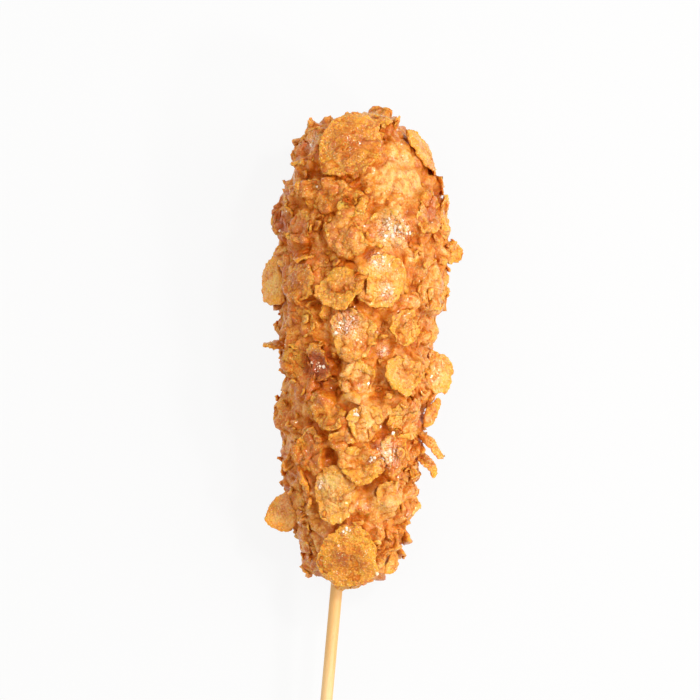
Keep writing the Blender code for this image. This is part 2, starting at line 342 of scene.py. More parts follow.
for index, node in enumerate(FLAKES):
    flake = piece_from(merged_copy(node), "corn_" + node)
    wrap(flake, FLAKE_VOXEL, 7)
    set_in_mesh(flake)
    thin = flake.modifiers.new("thinner", "DISPLACE")
    thin.mid_level = 0
    thin.strength = THINNER
    rim = rim_share(flake)
    if node[-2:] in FREE_FLAKES + SMOOTH_FLAKES:
        fry(flake, rim, 2.6 * MM, 1.3 * MM, 0.5 * MM)
    elif node[-2:] in CLEAN_FLAKES:
        fry(flake, rim, 3.8 * MM, 1.8 * MM, 0.6 * MM)
    else:
        fry(flake, rim)
    keep_above_table(flake)
    store(flake, "rim", rim)
    tone = FLAKE_TONES[index] if index < len(FLAKE_TONES) else tones.random()
    store(flake, "tone", np.full(len(flake.data.vertices), tone))
    corn_flakes.append((flake, node))
    flake_tones.append(tone)
all_flakes = [flake for flake, _ in corn_flakes]
print("flakes:", sum(len(flake.data.polygons) for flake in all_flakes), "faces in all")

# %% [markdown]
# ## The batter's lumps
# The batter rises in the oil into a lumpy body. We wrap the measured batter with a stretch of
# stick inside, so that it closes round the stick, and raise its larger lumps. Its fine skin
# comes later, once we know what is stuck in it.

# %% Lumpy batter
BATTER_VOXEL = 0.62 * MM
PLUG_EXTRA = 0.6 * MM
COLLAR = 1.0 * MM


def stick_inside():
    """The stretch of stick inside the food, a little thickened, so that it plugs its bore."""
    bm = merged_copy("stick")
    for vertex in bm.verts:
        vertex.co += vertex.normal * PLUG_EXTRA
    everything = bm.verts[:] + bm.edges[:] + bm.faces[:]
    foot = FOOD @ Vector((0, -COLLAR, 0))
    down = FOOD.to_3x3() @ Vector((0, -1, 0))
    bmesh.ops.bisect_plane(bm, geom=everything, plane_co=foot, plane_no=down, clear_outer=True)
    bmesh.ops.holes_fill(bm, edges=bm.edges)
    return bm


def joined(*meshes):
    """One bmesh out of several."""
    whole = bmesh.new()
    for bm in meshes:
        part = bpy.data.meshes.new("part")
        bm.to_mesh(part)
        bm.free()
        whole.from_mesh(part)
        bpy.data.meshes.remove(part)
    return whole


crust = piece_from(joined(merged_copy("batter"), stick_inside()), "batter_crust")
wrap(crust, BATTER_VOXEL, 14)
push(crust, clouds("batter lumps", 5.5 * MM), 2.0 * MM)
set_in_mesh(crust)
print("batter:", len(crust.data.polygons), "faces")

# %% [markdown]
# ## Broken flakes between them
# The flakes break when the food is rolled in them, so smaller shards fill the gaps all round.
# We make a few dozen different shards, each a thin angular chip, curled one way or another.
# Each starts as a disc of triangles, whose rim is pulled in to straight sides.

# %% Kinds of shard
SHARD_KINDS = 30
SHARD_SIDES = 22
SHARD_THICKNESS = 0.85 * MM
GOLDEN_TURN = 137.508
shape = random.Random(11)


def chip_outline(corners):
    """A function that gives the outline's distance from the middle in each direction."""
    sides = [
        ((index + shape.uniform(-0.3, 0.3)) / corners * 2 * math.pi, shape.uniform(0.62, 1.0))
        for index in range(corners)
    ]
    return lambda angle: min(1.15, min(far / max(math.cos(angle - side), 0.2) for side, far in sides))


def shard(length, width, cup, twist, sides=SHARD_SIDES, rings=4, thickness=SHARD_THICKNESS):
    """A thin, angular, curled chip of flake round the origin, and its vertices' nearness to the rim."""
    outline = chip_outline(shape.choice((4, 5, 5, 6)))
    bm = bmesh.new()
    bmesh.ops.create_circle(bm, cap_ends=True, cap_tris=True, segments=sides, radius=1)
    spokes = [edge for edge in bm.edges if not edge.is_boundary]
    bmesh.ops.subdivide_edges(bm, edges=spokes, cuts=rings)
    for vertex in bm.verts:
        reach = outline(math.atan2(vertex.co.y, vertex.co.x))
        x, y = vertex.co.x * reach, vertex.co.y * reach
        bend = cup * x * x + twist * x * y + 0.5 * cup * y * y
        vertex.co = (x * width / 2, y * length / 2, bend * width / 2)
    bmesh.ops.recalc_face_normals(bm, faces=bm.faces)
    bmesh.ops.solidify(bm, geom=bm.faces[:], thickness=thickness)
    mesh = bpy.data.meshes.new("shard")
    bm.to_mesh(mesh)
    bm.free()
    co = np.array([vertex.co for vertex in mesh.vertices])
    rim = np.clip(np.hypot(co[:, 0] * 2 / width, co[:, 1] * 2 / length), 0, 1)
    return mesh, rim


shard_kinds = []
for _ in range(SHARD_KINDS):
    length = shape.uniform(5.0, 10.0) * MM
    width = length * shape.uniform(0.55, 0.9)
    shard_kinds.append(shard(length, width, shape.uniform(-0.8, 0.8), shape.uniform(-0.5, 0.5)))
print(SHARD_KINDS, "kinds of shard,", len(shard_kinds[0][0].polygons), "faces each")

# %% [markdown]
# ## Plant the shards
# Copies of the shards go over the batter on a spiral, which spreads them evenly without rows.
# Each stands in the surface at its own tilt. A few patches of batter stay bare, as they do
# where the food was held.

# %% Plant the shards
SHARDS = 360
SHARD_SINK = 0.5 * MM
ABOVE_TABLE = 1.0 * MM
FLAKE_CLEAR = 1.4 * MM
FOOT_CLEAR = 5 * MM
BARE_PATCHES = (  # (degrees round, along in mm, reach in mm)
    (38, 139, 13), (26, 129, 6), (5, 78, 6), (12, 62, 6),
    (30, 28, 9), (-28, 18, 7), (150, 120, 12), (-120, 60, 12),
)
batter_tree = tree_of([crust])
flake_tree = tree_of(all_flakes)
scatter = random.Random(5)


def from_outside(tree, clock, along):
    """Where a ray from outside the food first meets the tree."""
    hit = tree.ray_cast(on_food(clock, along, 60 * MM), -outward(clock))
    return hit if hit[0] is not None else None


def placed(place, normal, turn, tilt, toward):
    """Where a piece goes that lies on a surface, tilted up on one side."""
    stand = normal.to_track_quat("Z", "Y").to_matrix().to_4x4()
    lean = Matrix.Rotation(toward, 4, "Z") @ Matrix.Rotation(tilt, 4, "X")
    spin = lean @ Matrix.Rotation(turn - toward, 4, "Z")
    return Matrix.Translation(place) @ stand @ spin


def plant(name, kinds, places, values, frying=None):
    """Joins copies of small pieces, one at each place, into one piece, and may fry it."""
    bm = bmesh.new()
    rims, shades = [], []
    for (mesh, rim), matrix, tone in zip(kinds, places, values):
        start = len(bm.verts)
        bm.from_mesh(mesh)
        bm.verts.ensure_lookup_table()
        bmesh.ops.transform(bm, matrix=matrix, verts=bm.verts[start:])
        rims.append(rim)
        shades.append(np.full(len(rim), tone))
    piece = piece_from(bm, name)
    rims = np.concatenate(rims)
    if frying:
        fry(piece, rims, *frying)
        keep_above_table(piece)
    store(piece, "rim", rims)
    store(piece, "tone", np.concatenate(shades))
    print(len(places), name.replace("_", " ") + ",", len(piece.data.polygons), "faces")
    return piece


bare_spots = [
    (from_outside(batter_tree, clock, along * MM)[0], far * MM) for clock, along, far in BARE_PATCHES
]


def is_bare(place):
    """Whether a point lies in one of the patches without bits of flake."""
    return any((place - spot).length < far for spot, far in bare_spots)


kinds, places, values = [], [], []
for count in range(SHARDS):
    clock = count * GOLDEN_TURN + scatter.uniform(-8, 8)
    along = FOOT_CLEAR + (FOOD_LENGTH - FOOT_CLEAR) * (count + 0.5) / SHARDS
    tilt = scatter.uniform(0.05, 1.2)
    toward, turn = scatter.uniform(0, 6.28), scatter.uniform(0, 6.28)
    kind, tone = scatter.randrange(SHARD_KINDS), scatter.random()
    hit = from_outside(batter_tree, clock, along)
    if hit is None or hit[0].z < 1.5 * ABOVE_TABLE or is_bare(hit[0]):
        continue
    normal = hit[1].lerp(outward(clock), 0.6).normalized()
    if flake_tree.find_nearest(hit[0] + normal * 1.2 * MM)[3] < FLAKE_CLEAR:
        continue
    lift = math.sin(tilt) * 1.6 * MM - SHARD_SINK
    kinds.append(shard_kinds[kind])
    places.append(placed(hit[0] + normal * lift, normal, turn, tilt, toward))
    values.append(tone)
shards = plant("flake_shards", kinds, places, values, (2.8 * MM, 2.0 * MM, 0.5 * MM))

# %% [markdown]
# ## The batter climbs up the flakes
# Whatever is stuck in the batter gets a collar, and the batter runs over many flakes and
# turns them into lumps. From each point of the batter a ray looks for the flake above it: a
# narrow space below a flake is filled, and where a slow noise and the kind of flake say so,
# the batter goes on to the flake's top.

# %% Batter that holds the flakes
FILL_FULL, FILL_NONE = 2.2 * MM, 4.4 * MM
FILL_INTO = 0.35 * MM
OVER_FLAKE = 0.3 * MM
COATED_FLAKES = (  # these lie under batter for the most part
    "23", "25", "26", "30", "31", "33", "34", "36", "38", "40", "41", "42", "43", "44", "45", "46",
)
COAT_MOST, COAT_SOME = 1.4, -0.1
CLEAN_WITHIN = 0.65
THICKEST_FLAKE = 2.2 * MM
COAT_PATCH = 8 * MM
FREE_FILL = 0.35
clean_tree = tree_of([flake for flake, node in corn_flakes if node[-2:] in CLEAN_FLAKES])
free_tree = tree_of([flake for flake, node in corn_flakes if node[-2:] in FREE_FLAKES])
stuck_pieces = [shards] + all_flakes
stuck_tree = tree_of(stuck_pieces)


def by_face(pieces, values):
    """One value per face, in the order in which tree_of joins the pieces."""
    return np.repeat(values, [len(piece.data.polygons) for piece in pieces])


def rim_by_face(piece):
    """How near each face is to the rim of its flake."""
    rims = np.empty(len(piece.data.vertices), np.float32)
    piece.data.attributes["rim"].data.foreach_get("value", rims)
    return np.array([rims[face.vertices[0]] for face in piece.data.polygons])


coats = [COAT_MOST if node[-2:] in COATED_FLAKES else COAT_SOME for _, node in corn_flakes]
coat_of = by_face(stuck_pieces, [COAT_SOME] + coats)
rim_of = np.concatenate([rim_by_face(piece) for piece in stuck_pieces])


def is_clean(place):
    """Whether a point is on one of the flakes that stay clear of batter and crumbs."""
    return clean_tree.find_nearest(place)[3] < 0.5 * MM


def rise_at(place, normal):
    """How far the batter rises at a point to meet or cover the flake above it."""
    under = stuck_tree.ray_cast(place, normal, FILL_NONE)
    if under[0] is None:
        return 0.0
    if free_tree.find_nearest(under[0])[3] < 0.1 * MM:
        return FREE_FILL * max(0.0, FILL_FULL - under[3])
    share = min(1.0, (FILL_NONE - under[3]) / (FILL_NONE - FILL_FULL))
    coat = min(1.0, max(0.0, 5 * noise_at(place / COAT_PATCH) + coat_of[under[2]]))
    if coat > 0 and share > 0.3:
        top = stuck_tree.ray_cast(under[0] + normal * 0.05 * MM, normal, THICKEST_FLAKE)
        if top[0] is not None and is_clean(top[0]):
            coat *= min(1.0, max(0.0, (rim_of[under[2]] - CLEAN_WITHIN) * 5))
        if top[0] is not None:
            return under[3] + coat * (top[3] + OVER_FLAKE)
    return (min(under[3], FILL_FULL) + FILL_INTO) * share


print(len(COATED_FLAKES), "flakes lie under batter")

# %% [markdown]
# ## Folds and creases
# The dough took on folds and grooves when it was wound round the sausage. We draw the large
# ones as a few bent lines, and get the fine creases from a noise: it is near zero along
# winding curves, and those curves become the creases.

# %% Folds and creases
# Each fold is a line of points (degrees round, along in mm), its half width, and its
# height or depth in mm.
FOLDS = (
    (((-8, 76), (2, 64), (16, 46)), 4.6, 1.5),
    (((-20, 46), (-14, 39), (-1, 35), (26, 33)), 2.4, -2.4),
    (((2, 28), (20, 26), (38, 31)), 1.8, 1.0),
    (((34, 40), (40, 33), (38, 24)), 1.6, 1.0),
    (((-56, 136), (-34, 138), (-14, 135)), 2.6, -1.8),
    (((-8, 109), (4, 112), (26, 106), (32, 98)), 2.0, -1.0),
    (((20, 66), (28, 52), (30, 40)), 2.0, -1.2),
    (((-20, 92), (-12, 80), (-14, 66)), 2.0, -1.2),
)
FOLD_SIZE = 6.5 * MM
CREASE_DEPTH = 1.3 * MM
seed_set(4)  # without it the vector noise is another one in each run


def crease_at(place):
    """How close a point is to a crease between two folds of the batter: 1 in the crease."""
    where = place / FOLD_SIZE
    bent = where + 1.3 * noise_vector(0.5 * where)
    return max(0.0, 1 - 5 * abs(noise_at(bent))) ** 1.3


def fold_heights(piece):
    """How far the folds raise each point, and the grooves lower it."""
    co = points(piece)
    total = np.zeros(len(co))
    for line, half_width, height in FOLDS:
        stops = [np.array(from_outside(batter_tree, clock, along * MM)[0]) for clock, along in line]
        nearest = np.full(len(co), 1.0)
        for start, end in zip(stops, stops[1:]):
            step = end - start
            share = np.clip((co - start) @ step / (step @ step), 0, 1)
            away = np.linalg.norm(co - start - share[:, None] * step, axis=1)
            nearest = np.minimum(nearest, away)
        share = np.clip(1 - nearest / (half_width * MM), 0, 1)
        total += height * MM * share * share * (3 - 2 * share)
    return total


print(len(FOLDS), "folds and grooves")

# %% [markdown]
# ## Raise the crust
# Now every point of the batter moves out along its normal by these heights. Blurring them
# first gives soft slopes. Two more textures roughen the skin, but less on the bare patches.

# %% Raise the crust
pairs = zip(points(crust), normals(crust))
rise = np.array([rise_at(Vector(place), Vector(normal)) for place, normal in pairs])
rise = spread_over_edges(crust, rise, 2, largest=True)
rise = spread_over_edges(crust, rise, 5) + fold_heights(crust)
creases = np.array([crease_at(Vector(place)) for place in points(crust)])
rise -= CREASE_DEPTH * spread_over_edges(crust, creases, 1)
moved = points(crust) + normals(crust) * rise[:, None]
crust.data.vertices.foreach_set("co", moved.ravel())
crust.data.update()
rough = crust.vertex_groups.new(name="rough")
away = [np.linalg.norm(points(crust) - np.array(spot), axis=1) / far for spot, far in bare_spots]
for index, share in enumerate(np.clip(1.8 * np.min(away, axis=0) - 0.8, 0.5, 1)):
    rough.add([index], share, "REPLACE")
push(crust, clouds("batter folds", 3.2 * MM, colour=True), 2.6 * MM, vector=True)
push(crust, clouds("batter crisp", 0.9 * MM), 0.3 * MM)
for displace in crust.modifiers:
    displace.vertex_group = rough.name
set_in_mesh(crust)
keep_above_table(crust)
crust.vertex_groups.clear()
print("batter rises by up to", round(rise.max() / MM, 1), "mm")

# %% [markdown]
# ## Chips of flake
# The edges of the flakes crumble while they are rolled on, so the whole food bristles with
# chips a few millimetres long, most of all in the hollows between the flakes. They are made
# like the shards, only smaller, and a slow noise decides where they lie thick.

# %% Chips
CHIP_KINDS = 24
CHIPS = 1300
ON_FLAKES = 0.1
CHIP_PATCH = 12 * MM
chip_kinds = []
for _ in range(CHIP_KINDS):
    length = shape.uniform(2.2, 5.0) * MM
    width = length * shape.uniform(0.45, 0.9)
    cup, twist = shape.uniform(-1.0, 1.0), shape.uniform(-0.6, 0.6)
    chip_kinds.append(shard(length, width, cup, twist, 14, 2, 0.6 * MM))
covered_tree = tree_of([crust, shards] + all_flakes)
kinds, places, values = [], [], []
for count in range(CHIPS):
    clock = count * GOLDEN_TURN + scatter.uniform(-15, 15)
    along = FOOT_CLEAR + (FOOD_LENGTH - FOOT_CLEAR) * (count + 0.5) / CHIPS
    tilt, toward, turn = scatter.uniform(0, 1.0), scatter.uniform(0, 6.28), scatter.uniform(0, 6.28)
    kind, tone, chance = scatter.choice(chip_kinds), scatter.random(), scatter.random()
    hit = from_outside(covered_tree, clock, along)
    if hit is None or hit[0].z < ABOVE_TABLE or is_bare(hit[0]) or is_clean(hit[0]):
        continue
    on_flake = flake_tree.find_nearest(hit[0])[3] < 0.1 * MM
    if (noise_at(hit[0] / CHIP_PATCH) * 2 + 0.35) * (ON_FLAKES if on_flake else 1) < chance:
        continue
    normal = hit[1].lerp(outward(clock), 0.4).normalized()
    lift = math.sin(tilt) * 0.8 * MM - 0.4 * MM
    kinds.append(kind)
    places.append(placed(hit[0] + normal * lift, normal, turn, tilt, toward))
    values.append(tone)
chips = plant("flake_chips", kinds, places, values, (2.0 * MM, 1.2 * MM, 0.3 * MM))

# %% [markdown]
# ## Crumbs
# Batter and flake dust fries into crumbs between the flakes. Each crumb is a small faceted
# ball, squashed and dented, dropped from outside until it meets whatever lies there.

# %% Crumbs
CRUMBS = 1100
CRUMB_PATCH = 11 * MM
CRUMB_KINDS = 12


def crumb():
    """An uneven lump about one unit across, and one middling rim value for all its vertices."""
    bm = bmesh.new()
    bmesh.ops.create_icosphere(bm, subdivisions=2, radius=0.5)
    stretch = Vector((shape.uniform(0.6, 1.2), shape.uniform(0.6, 1.2), shape.uniform(0.35, 0.8)))
    for vertex in bm.verts:
        dent = shape.uniform(0.65, 1.15)
        vertex.co = Vector(a * b for a, b in zip(vertex.co, stretch)) * dent
    mesh = bpy.data.meshes.new("crumb")
    bm.to_mesh(mesh)
    bm.free()
    return mesh, np.full(len(mesh.vertices), 0.5)


fried_tree = tree_of([crust, shards, chips] + all_flakes)
crumb_kinds = [crumb() for _ in range(CRUMB_KINDS)]
kinds, places, values = [], [], []
for count in range(CRUMBS):
    clock = count * GOLDEN_TURN + scatter.uniform(-20, 20)
    along = FOOD_LENGTH * (count + 0.5) / CRUMBS
    hit = from_outside(fried_tree, clock, along)
    if hit is None or hit[0].z < ABOVE_TABLE:
        continue
    if is_clean(hit[0]) or noise_at(hit[0] / CRUMB_PATCH) * 2 + 0.3 < scatter.random():
        continue
    size = (0.4 + 1.3 * scatter.random() ** 2) * MM
    turn = Matrix.Rotation(scatter.uniform(0, 6.28), 4, "Z") @ Matrix.Scale(size, 4)
    stand = hit[1].to_track_quat("Z", "Y").to_matrix().to_4x4()
    kinds.append(scatter.choice(crumb_kinds))
    places.append(Matrix.Translation(hit[0]) @ stand @ turn)
    values.append(scatter.random())
crumbs = plant("crumbs", kinds, places, values)

# %% [markdown]
# ## Sugar
# Coarse sugar is shaken over the food while it is hot. Its grains are small broken blocks
# with sharp edges, and they gather in clusters where the surface is damp with oil.

# %% Sugar grains
SUGAR_CLUSTERS = (  # (degrees round, along in mm, grains, spread in mm)
    (25, 120, 44, 4.5),
    (13, 109, 12, 2.5),
    (19, 100, 10, 2.5),
    (-7, 88, 16, 3.5),
    (22, 80, 5, 1.2),
    (2, 59, 6, 1.2),
    (31, 46, 14, 3.5),
    (17, 44, 6, 1.2),
    (-26, 35, 6, 1.5),
    (-3, 20, 8, 1.8),
    (-58, 148, 8, 2.5),
    (-31, 74, 8, 2.0),
    (150, 110, 16, 5.0),
    (-140, 50, 16, 5.0),
)
LOOSE_SUGAR = 60
GRAIN_KINDS = 8


def grain():
    """A broken block of sugar one unit across."""
    bm = bmesh.new()
    bmesh.ops.create_cube(bm, size=1)
    for vertex in bm.verts:
        vertex.co = Vector(value * shape.uniform(0.6, 1.3) for value in vertex.co)
    edges = bm.edges[:]
    bmesh.ops.bevel(bm, geom=edges, offset=0.12, affect="EDGES", segments=1, profile=0.5, material=-1)
    mesh = bpy.data.meshes.new("grain")
    bm.to_mesh(mesh)
    bm.free()
    return mesh, np.zeros(len(mesh.vertices))


fried_tree = tree_of([crust, shards, chips, crumbs] + all_flakes)
spots = []
for clock, along, grains, spread in SUGAR_CLUSTERS:
    for _ in range(grains):
        turn, slip = scatter.gauss(0, spread * 1.1), scatter.gauss(0, spread / 2)
        spots.append((clock + turn, along * MM + slip * MM))
for count in range(LOOSE_SUGAR):
    spots.append((scatter.uniform(0, 360), FOOD_LENGTH * scatter.random()))
grain_kinds = [grain() for _ in range(GRAIN_KINDS)]
kinds, places, values = [], [], []
for clock, along in spots:
    hit = from_outside(fried_tree, clock, along)
    if hit is None or hit[0].z < ABOVE_TABLE:
        continue
    size = (0.35 + 0.75 * scatter.random() ** 2) * MM
    turn = Quaternion([scatter.gauss(0, 1) for _ in range(4)]).normalized().to_matrix().to_4x4()
    kinds.append(scatter.choice(grain_kinds))
    places.append(Matrix.Translation(hit[0]) @ turn @ Matrix.Scale(size, 4))
    values.append(0)
sugar = plant("sugar_grains", kinds, places, values)
for polygon in sugar.data.polygons:
    polygon.use_smooth = False

# %% [markdown]
# ## The stick
# The stick is turned from pale bamboo. Its fibres run along it as faint ridges, and it is
# never quite round or straight. We stretch a many-sided rod along the measured one, round its
# end, and press shallow lengthwise grooves into it.

# %% Bamboo stick
STICK_SIDES = 40
STICK_RINGS = 90
GROOVES = 0.05 * MM
stick_copy = merged_copy("stick")
to_food = FOOD.inverted()
ends = sorted((to_food @ vertex.co for vertex in stick_copy.verts), key=lambda co: co.y)
face_size = len(ends) // 4
low = FOOD @ (sum(ends[:face_size], Vector()) / face_size)
high = FOOD @ (sum(ends[-face_size:], Vector()) / face_size)
direction = (high - low).normalized()
stick_length = (high - low).length
from_low = [vertex.co - low for vertex in stick_copy.verts]
stick_radius = max((step - step.dot(direction) * direction).length for step in from_low)
stick_copy.free()

bm = bmesh.new()
bmesh.ops.create_cone(
    bm, cap_ends=True, segments=STICK_SIDES,
    radius1=stick_radius, radius2=stick_radius, depth=stick_length,
)


def is_long(edge):
    """Whether an edge runs along the stick."""
    return abs(edge.verts[0].co.z - edge.verts[1].co.z) > stick_length / 2


rims = [edge for edge in bm.edges if not is_long(edge)]
bmesh.ops.bevel(bm, geom=rims, offset=0.5 * MM, affect="EDGES", segments=3, profile=0.5, material=-1)
long_edges = [edge for edge in bm.edges if is_long(edge)]
bmesh.ops.subdivide_edges(bm, edges=long_edges, cuts=STICK_RINGS, use_grid_fill=True)
groove = random.Random(8)
depths = [groove.uniform(-1, 1) for _ in range(STICK_SIDES)]
for vertex in bm.verts:
    angle = math.atan2(vertex.co.y, vertex.co.x)
    side = round(angle / (2 * math.pi) * STICK_SIDES) % STICK_SIDES
    wander = math.sin(vertex.co.z / stick_length * 9 + side) * 0.4
    inward = GROOVES * (depths[side] + wander - 1.4)
    flat = Vector((vertex.co.x, vertex.co.y, 0))
    if flat.length > stick_radius / 2:
        vertex.co += flat.normalized() * inward
stand = direction.to_track_quat("Z", "Y").to_matrix().to_4x4()
bmesh.ops.transform(bm, matrix=Matrix.Translation((low + high) / 2) @ stand, verts=bm.verts)
stick = piece_from(bm, "bamboo_stick")
print("stick", round(stick_length / MM), "mm long,", round(2 * stick_radius / MM, 2), "mm thick")

# %% [markdown]
# ## Where shade falls
# Far down between the flakes little light reaches the crust, and the finish paints that
# shade into its colour. To find those places we send a few rays out from every point: the
# more of them are blocked nearby, the deeper the point lies. That share is kept with the
# mesh, so the finish can read it from any side.

# %% Depth of each point
RAYS = 10
RAY_LENGTH = 7 * MM
ray_tree = tree_of([crust, shards, chips] + all_flakes)


def directions(amount):
    """Directions spread evenly over the upper half of a ball."""
    out = []
    for index in range(amount):
        height = (index + 0.5) / amount
        angle = math.radians(index * GOLDEN_TURN)
        flat = math.sqrt(1 - height * height)
        out.append(Vector((flat * math.cos(angle), flat * math.sin(angle), height)))
    return out


FAN = directions(RAYS)


def depth_of(piece, rounds=2):
    """The share of short rays from each vertex that something blocks."""
    blocked = np.zeros(len(piece.data.vertices))
    for index, (place, normal) in enumerate(zip(points(piece), normals(piece))):
        normal = Vector(normal)
        start = Vector(place) + normal * 0.08 * MM
        turn = normal.to_track_quat("Z", "Y")
        blocked[index] = sum(
            ray_tree.ray_cast(start, turn @ ray, RAY_LENGTH)[0] is not None for ray in FAN
        )
    return spread_over_edges(piece, blocked / RAYS, rounds)


fried_pieces = [crust, shards, chips, crumbs] + all_flakes
# The share of blocked rays is stored for the finish, which paints it as shade.
for piece in fried_pieces:
    store(piece, "painted_shade", depth_of(piece))
print("measured the depth of", sum(len(piece.data.vertices) for piece in fried_pieces), "points")

# %% [markdown]
# ## Darker and paler places
# No two places fry alike. Where sugar caramelises the crust turns a dark glossy red, and
# where flakes kept the oil off the batter it stays the colour of cream. Each such place is a
# soft ball round a point of the food, darker or paler than the rest.

# %% Hot and pale spots
SPOTS = (  # (degrees round, along in mm, reach in mm, how dark, or pale when negative)
    (-31, 75, 8, 1.1),
    (-24, 67, 6, 0.6),
    (-5, 59, 3, 1.0),
    (-29, 44, 4, 0.8),
    (-28, 147, 4, 0.9),
    (57, 126, 7, 0.6),
    (-73, 121, 9, 0.6),
    (22, 155, 5, 0.6),
    (31, 46, 6, 0.4),
    (-30, 20, 8, 0.35),
    (-45, 118, 14, 0.3),
    (40, 139, 12, -0.8),
    (26, 128, 7, -0.2),
    (38, 79, 5, -0.8),
    (30, 31, 8, -0.4),
    (16, 60, 7, -0.4),
    (60, 95, 14, -0.3),
)


def scorch_of(piece):
    """How much darker or paler than usual each vertex is."""
    co = points(piece)
    total = np.zeros(len(co))
    for clock, along, reach, strength in SPOTS:
        hit = from_outside(batter_tree, clock, along * MM)
        far = np.linalg.norm(co - np.array(hit[0]), axis=1) / (reach * MM)
        total += strength * np.clip(1.4 * (1 - far), 0, 1)
    return total


def frost_of(piece):
    """How much fine sugar lies at each vertex."""
    co = points(piece)
    total = np.zeros(len(co))
    for clock, along, _, spread in SUGAR_CLUSTERS:
        hit = from_outside(batter_tree, clock, along * MM)
        far = np.linalg.norm(co - np.array(hit[0]), axis=1) / (1.6 * spread * MM + 1.5 * MM)
        total += np.clip(1.3 * (1 - far), 0, 1)
    return total


for piece in fried_pieces:
    store(piece, "scorch", scorch_of(piece))
    store(piece, "frost", frost_of(piece))
print(len(SPOTS), "darker or paler places")

# %% [markdown]
# ## One finish for everything fried
# Batter and flakes brown in the same way: pale where the oil hardly reached, golden, then
# orange brown on what stands out. So one node group mixes these colours from a tone for the
# whole piece, noise of three sizes and the depth that we stored, and each material sets its
# own colours. The stored depth darkens the colour in the hollows between pieces, which is
# painted shade. Amber shows at thin rims and in soft patches, where light comes through the
# crust, and the fine grain of a flake comes from round cells and a fine noise: pale on each
# granule and dark where granules meet and in low spots. That is partly the grain's own colour
# and partly painted highlight and painted shade, as the pale places are the bump's tops and
# the dark ones its low places. Small pale spots are partly sugar and partly painted glints.

# %% Node helpers
def add_node(tree, kind, **inputs):
    """A node with some of its inputs set, by name or, for a digit, by number."""
    node = tree.nodes.new(kind)
    for key, value in inputs.items():
        set_input(tree, node, key, value)
    return node


def set_input(tree, node, key, value):
    """Sets an input's value, or links a socket to it."""
    socket = node.inputs[int(key[1:])] if key[1:].isdigit() else node.inputs[key.replace("_", " ")]
    if isinstance(value, bpy.types.NodeSocket):
        tree.links.new(value, socket)
    else:
        socket.default_value = value


def noise(tree, where, size, detail=3.0):
    """Noise with lumps of the given size in metres."""
    node = add_node(tree, "ShaderNodeTexNoise", Vector=where, Scale=1 / size, Detail=detail)
    return node.outputs["Factor"] if "Factor" in node.outputs else node.outputs["Fac"]


def cells(tree, where, size):
    """Distance from the middles of grains of the given size in metres."""
    return add_node(tree, "ShaderNodeTexVoronoi", Vector=where, Scale=1 / size).outputs["Distance"]


def maths(tree, operation, first, second=0.0, third=0.0, clamp=False):
    """A Math node's result."""
    node = add_node(tree, "ShaderNodeMath", _0=first, _1=second, _2=third)
    node.operation = operation
    node.use_clamp = clamp
    return node.outputs[0]


def fade(tree, value, low, high, to_low=0.0, to_high=1.0):
    """Maps a value's range to another, smoothly and clamped."""
    node = tree.nodes.new("ShaderNodeMapRange")
    node.interpolation_type = "SMOOTHSTEP"
    keys = ("Value", "From_Min", "From_Max", "To_Min", "To_Max")
    for key, given in zip(keys, (value, low, high, to_low, to_high)):
        set_input(tree, node, key, given)
    return node.outputs[0]


def mix_colours(tree, share, first, second):
    """A mix of two colours."""
    node = tree.nodes.new("ShaderNodeMix")
    node.data_type = "RGBA"
    for index, given in ((0, share), (6, first), (7, second)):
        set_input(tree, node, f"_{index}", given)
    return node.outputs[2]


def new_material(name, **inputs):
    """A new material, its nodes and its shader, with some of the shader's inputs set."""
    material = bpy.data.materials.new(name)
    material.use_nodes = True
    tree = material.node_tree
    shader = tree.nodes["Principled BSDF"]
    for key, value in inputs.items():
        set_input(tree, shader, key, value)
    return material, tree, shader


def rgb(red, green, blue):
    """A colour for a socket."""
    return (red, green, blue, 1.0)


# %% The fried finish as a node group
# The first colour below is for small pale spots: partly sugar and partly painted glints.
SPECKS_AND_GLINTS = rgb(0.92, 0.66, 0.36)
SUGAR_DUST = rgb(0.90, 0.62, 0.44)
BURNT = rgb(0.34, 0.05, 0.006)


